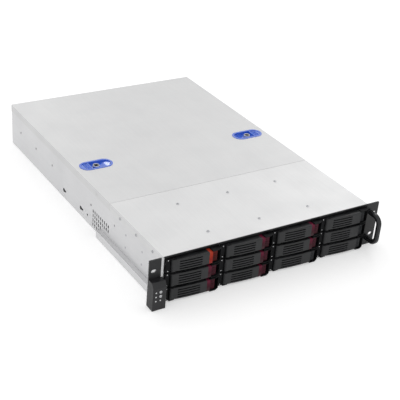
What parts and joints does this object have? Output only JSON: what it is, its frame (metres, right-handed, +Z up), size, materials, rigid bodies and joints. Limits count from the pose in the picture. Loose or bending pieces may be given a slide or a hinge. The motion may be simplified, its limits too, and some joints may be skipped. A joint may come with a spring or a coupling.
{
  "type": "rackmount server chassis",
  "caption": "Low rackmount server case with hot-swap drive trays, sliding lid with blue latches, rack ears, pull handle and cooling fans.",
  "frame": {"origin": "under the middle of the whole body, on the plane it rests on", "axes": "+X to the right as seen from the front, +Y to the rear, +Z up"},
  "size_m": [0.4826, 0.6866, 0.0888],
  "materials": {
    "body_steel": "light grey powder coat on zinc-plated sheet, satin",
    "cover_steel": "light grey powder coat, satin",
    "plated_steel": "zinc-plated sheet, satin",
    "black_steel": "black powder coat, satin",
    "fasteners": "bright zinc",
    "block_plastic": "black moulded, fine texture",
    "key_plastic": "light grey moulded",
    "handle_metal": "black coated bar, satin",
    "tray_plastic": "dark grey moulded",
    "lever_plastic": "dark grey moulded, lightly grained",
    "release_plastic": "dark red moulded",
    "bright_release_plastic": "bright red moulded",
    "grey_release_plastic": "dark grey moulded",
    "board": "green circuit board",
    "fan_plastic": "black moulded",
    "latch_plastic": "blue moulded",
    "thumb_plastic": "blue moulded"
  },
  "bodies": {
    "chassis": {"base_pan": "body_steel", "rear_panel": "body_steel", "slot_covers": "plated_steel", "front_cover": "cover_steel", "case_fasteners": "fasteners", "front_trim": "black_steel", "left_ear": "black_steel", "right_ear": "black_steel", "control_block": "block_plastic", "ear_handle": "handle_metal", "side_runners": "plated_steel", "drive_cage": "plated_steel", "backplane": "board", "fan_wall": "plated_steel", "fan_frames": "fan_plastic"},
    "lid": {"top_cover": "cover_steel", "latch_bezels": "latch_plastic"},
    "left_latch": {"left_latch_button": "thumb_plastic"},
    "right_latch": {"right_latch_button": "thumb_plastic"},
    "power_key": {"power_button": "key_plastic"},
    "reset_key": {"reset_button": "key_plastic"},
    "fan_1": {"fan_rotor_1": "fan_plastic"},
    "fan_2": {"fan_rotor_2": "fan_plastic"},
    "fan_3": {"fan_rotor_3": "fan_plastic"},
    "tray_1": {"drive_tray_1": "tray_plastic"},
    "lever_1": {"tray_lever_1": "lever_plastic"},
    "release_1": {"tray_release_1": "bright_release_plastic"},
    "tray_2": {"drive_tray_2": "tray_plastic"},
    "lever_2": {"tray_lever_2": "lever_plastic"},
    "release_2": {"tray_release_2": "release_plastic"},
    "tray_3": {"drive_tray_3": "tray_plastic"},
    "lever_3": {"tray_lever_3": "lever_plastic"},
    "release_3": {"tray_release_3": "release_plastic"},
    "tray_4": {"drive_tray_4": "tray_plastic"},
    "lever_4": {"tray_lever_4": "lever_plastic"},
    "release_4": {"tray_release_4": "grey_release_plastic"},
    "tray_5": {"drive_tray_5": "tray_plastic"},
    "lever_5": {"tray_lever_5": "lever_plastic"},
    "release_5": {"tray_release_5": "release_plastic"},
    "tray_6": {"drive_tray_6": "tray_plastic"},
    "lever_6": {"tray_lever_6": "lever_plastic"},
    "release_6": {"tray_release_6": "release_plastic"},
    "tray_7": {"drive_tray_7": "tray_plastic"},
    "lever_7": {"tray_lever_7": "lever_plastic"},
    "release_7": {"tray_release_7": "release_plastic"},
    "tray_8": {"drive_tray_8": "tray_plastic"},
    "lever_8": {"tray_lever_8": "lever_plastic"},
    "release_8": {"tray_release_8": "grey_release_plastic"},
    "tray_9": {"drive_tray_9": "tray_plastic"},
    "lever_9": {"tray_lever_9": "lever_plastic"},
    "release_9": {"tray_release_9": "release_plastic"},
    "tray_10": {"drive_tray_10": "tray_plastic"},
    "lever_10": {"tray_lever_10": "lever_plastic"},
    "release_10": {"tray_release_10": "release_plastic"},
    "tray_11": {"drive_tray_11": "tray_plastic"},
    "lever_11": {"tray_lever_11": "lever_plastic"},
    "release_11": {"tray_release_11": "grey_release_plastic"},
    "tray_12": {"drive_tray_12": "tray_plastic"},
    "lever_12": {"tray_lever_12": "lever_plastic"},
    "release_12": {"tray_release_12": "grey_release_plastic"}
  },
  "joints": [
    {"name": "lid_slide", "type": "slide", "parent": "chassis", "child": "lid", "axis": [0, 1, 0], "range_m": [0, 0.018]},
    {"name": "left_latch_pull", "type": "slide", "parent": "lid", "child": "left_latch", "axis": [1, 0, 0], "range_m": [0, 0.005], "stiffness_N_per_m": 300, "springref_m": -0.001},
    {"name": "right_latch_pull", "type": "slide", "parent": "lid", "child": "right_latch", "axis": [-1, 0, 0], "range_m": [0, 0.005], "stiffness_N_per_m": 300, "springref_m": -0.001},
    {"name": "power_press", "type": "slide", "parent": "chassis", "child": "power_key", "axis": [0, 1, 0], "range_m": [0, 0.0015], "stiffness_N_per_m": 300, "springref_m": -0.0005},
    {"name": "reset_press", "type": "slide", "parent": "chassis", "child": "reset_key", "axis": [0, 1, 0], "range_m": [0, 0.0015], "stiffness_N_per_m": 300, "springref_m": -0.0005},
    {"name": "fan_1_spin", "type": "hinge", "parent": "chassis", "child": "fan_1", "pos_m": [-0.132, -0.05055, 0.0426], "axis": [0, 1, 0], "continuous": true},
    {"name": "fan_2_spin", "type": "hinge", "parent": "chassis", "child": "fan_2", "pos_m": [0, -0.05055, 0.0426], "axis": [0, 1, 0], "continuous": true},
    {"name": "fan_3_spin", "type": "hinge", "parent": "chassis", "child": "fan_3", "pos_m": [0.132, -0.05055, 0.0426], "axis": [0, 1, 0], "continuous": true},
    {"name": "tray_1_slide", "type": "slide", "parent": "chassis", "child": "tray_1", "axis": [0, -1, 0], "range_m": [0, 0.155]},
    {"name": "lever_1_swing", "type": "hinge", "parent": "tray_1", "child": "lever_1", "pos_m": [-0.1974, -0.31075, 0.0704], "axis": [0, 0, -1], "range_deg": [0, 50]},
    {"name": "release_1_press", "type": "slide", "parent": "tray_1", "child": "release_1", "axis": [0, 1, 0], "range_m": [0, 0.0025], "stiffness_N_per_m": 300, "springref_m": -0.0005},
    {"name": "tray_2_slide", "type": "slide", "parent": "chassis", "child": "tray_2", "axis": [0, -1, 0], "range_m": [0, 0.155]},
    {"name": "lever_2_swing", "type": "hinge", "parent": "tray_2", "child": "lever_2", "pos_m": [-0.0913, -0.31075, 0.0704], "axis": [0, 0, -1], "range_deg": [0, 50]},
    {"name": "release_2_press", "type": "slide", "parent": "tray_2", "child": "release_2", "axis": [0, 1, 0], "range_m": [0, 0.0025], "stiffness_N_per_m": 300, "springref_m": -0.0005},
    {"name": "tray_3_slide", "type": "slide", "parent": "chassis", "child": "tray_3", "axis": [0, -1, 0], "range_m": [0, 0.155]},
    {"name": "lever_3_swing", "type": "hinge", "parent": "tray_3", "child": "lever_3", "pos_m": [0.0148, -0.31075, 0.0704], "axis": [0, 0, -1], "range_deg": [0, 50]},
    {"name": "release_3_press", "type": "slide", "parent": "tray_3", "child": "release_3", "axis": [0, 1, 0], "range_m": [0, 0.0025], "stiffness_N_per_m": 300, "springref_m": -0.0005},
    {"name": "tray_4_slide", "type": "slide", "parent": "chassis", "child": "tray_4", "axis": [0, -1, 0], "range_m": [0, 0.155]},
    {"name": "lever_4_swing", "type": "hinge", "parent": "tray_4", "child": "lever_4", "pos_m": [0.1209, -0.31075, 0.0704], "axis": [0, 0, -1], "range_deg": [0, 50]},
    {"name": "release_4_press", "type": "slide", "parent": "tray_4", "child": "release_4", "axis": [0, 1, 0], "range_m": [0, 0.0025], "stiffness_N_per_m": 300, "springref_m": -0.0005},
    {"name": "tray_5_slide", "type": "slide", "parent": "chassis", "child": "tray_5", "axis": [0, -1, 0], "range_m": [0, 0.155]},
    {"name": "lever_5_swing", "type": "hinge", "parent": "tray_5", "child": "lever_5", "pos_m": [-0.1974, -0.31075, 0.0424], "axis": [0, 0, -1], "range_deg": [0, 50]},
    {"name": "release_5_press", "type": "slide", "parent": "tray_5", "child": "release_5", "axis": [0, 1, 0], "range_m": [0, 0.0025], "stiffness_N_per_m": 300, "springref_m": -0.0005},
    {"name": "tray_6_slide", "type": "slide", "parent": "chassis", "child": "tray_6", "axis": [0, -1, 0], "range_m": [0, 0.155]},
    {"name": "lever_6_swing", "type": "hinge", "parent": "tray_6", "child": "lever_6", "pos_m": [-0.0913, -0.31075, 0.0424], "axis": [0, 0, -1], "range_deg": [0, 50]},
    {"name": "release_6_press", "type": "slide", "parent": "tray_6", "child": "release_6", "axis": [0, 1, 0], "range_m": [0, 0.0025], "stiffness_N_per_m": 300, "springref_m": -0.0005},
    {"name": "tray_7_slide", "type": "slide", "parent": "chassis", "child": "tray_7", "axis": [0, -1, 0], "range_m": [0, 0.155]},
    {"name": "lever_7_swing", "type": "hinge", "parent": "tray_7", "child": "lever_7", "pos_m": [0.0148, -0.31075, 0.0424], "axis": [0, 0, -1], "range_deg": [0, 50]},
    {"name": "release_7_press", "type": "slide", "parent": "tray_7", "child": "release_7", "axis": [0, 1, 0], "range_m": [0, 0.0025], "stiffness_N_per_m": 300, "springref_m": -0.0005},
    {"name": "tray_8_slide", "type": "slide", "parent": "chassis", "child": "tray_8", "axis": [0, -1, 0], "range_m": [0, 0.155]},
    {"name": "lever_8_swing", "type": "hinge", "parent": "tray_8", "child": "lever_8", "pos_m": [0.1209, -0.31075, 0.0424], "axis": [0, 0, -1], "range_deg": [0, 50]},
    {"name": "release_8_press", "type": "slide", "parent": "tray_8", "child": "release_8", "axis": [0, 1, 0], "range_m": [0, 0.0025], "stiffness_N_per_m": 300, "springref_m": -0.0005},
    {"name": "tray_9_slide", "type": "slide", "parent": "chassis", "child": "tray_9", "axis": [0, -1, 0], "range_m": [0, 0.155]},
    {"name": "lever_9_swing", "type": "hinge", "parent": "tray_9", "child": "lever_9", "pos_m": [-0.1974, -0.31075, 0.0144], "axis": [0, 0, -1], "range_deg": [0, 50]},
    {"name": "release_9_press", "type": "slide", "parent": "tray_9", "child": "release_9", "axis": [0, 1, 0], "range_m": [0, 0.0025], "stiffness_N_per_m": 300, "springref_m": -0.0005},
    {"name": "tray_10_slide", "type": "slide", "parent": "chassis", "child": "tray_10", "axis": [0, -1, 0], "range_m": [0, 0.155]},
    {"name": "lever_10_swing", "type": "hinge", "parent": "tray_10", "child": "lever_10", "pos_m": [-0.0913, -0.31075, 0.0144], "axis": [0, 0, -1], "range_deg": [0, 50]},
    {"name": "release_10_press", "type": "slide", "parent": "tray_10", "child": "release_10", "axis": [0, 1, 0], "range_m": [0, 0.0025], "stiffness_N_per_m": 300, "springref_m": -0.0005},
    {"name": "tray_11_slide", "type": "slide", "parent": "chassis", "child": "tray_11", "axis": [0, -1, 0], "range_m": [0, 0.155]},
    {"name": "lever_11_swing", "type": "hinge", "parent": "tray_11", "child": "lever_11", "pos_m": [0.0148, -0.31075, 0.0144], "axis": [0, 0, -1], "range_deg": [0, 50]},
    {"name": "release_11_press", "type": "slide", "parent": "tray_11", "child": "release_11", "axis": [0, 1, 0], "range_m": [0, 0.0025], "stiffness_N_per_m": 300, "springref_m": -0.0005},
    {"name": "tray_12_slide", "type": "slide", "parent": "chassis", "child": "tray_12", "axis": [0, -1, 0], "range_m": [0, 0.155]},
    {"name": "lever_12_swing", "type": "hinge", "parent": "tray_12", "child": "lever_12", "pos_m": [0.1209, -0.31075, 0.0144], "axis": [0, 0, -1], "range_deg": [0, 50]},
    {"name": "release_12_press", "type": "slide", "parent": "tray_12", "child": "release_12", "axis": [0, 1, 0], "range_m": [0, 0.0025], "stiffness_N_per_m": 300, "springref_m": -0.0005}
  ]
}
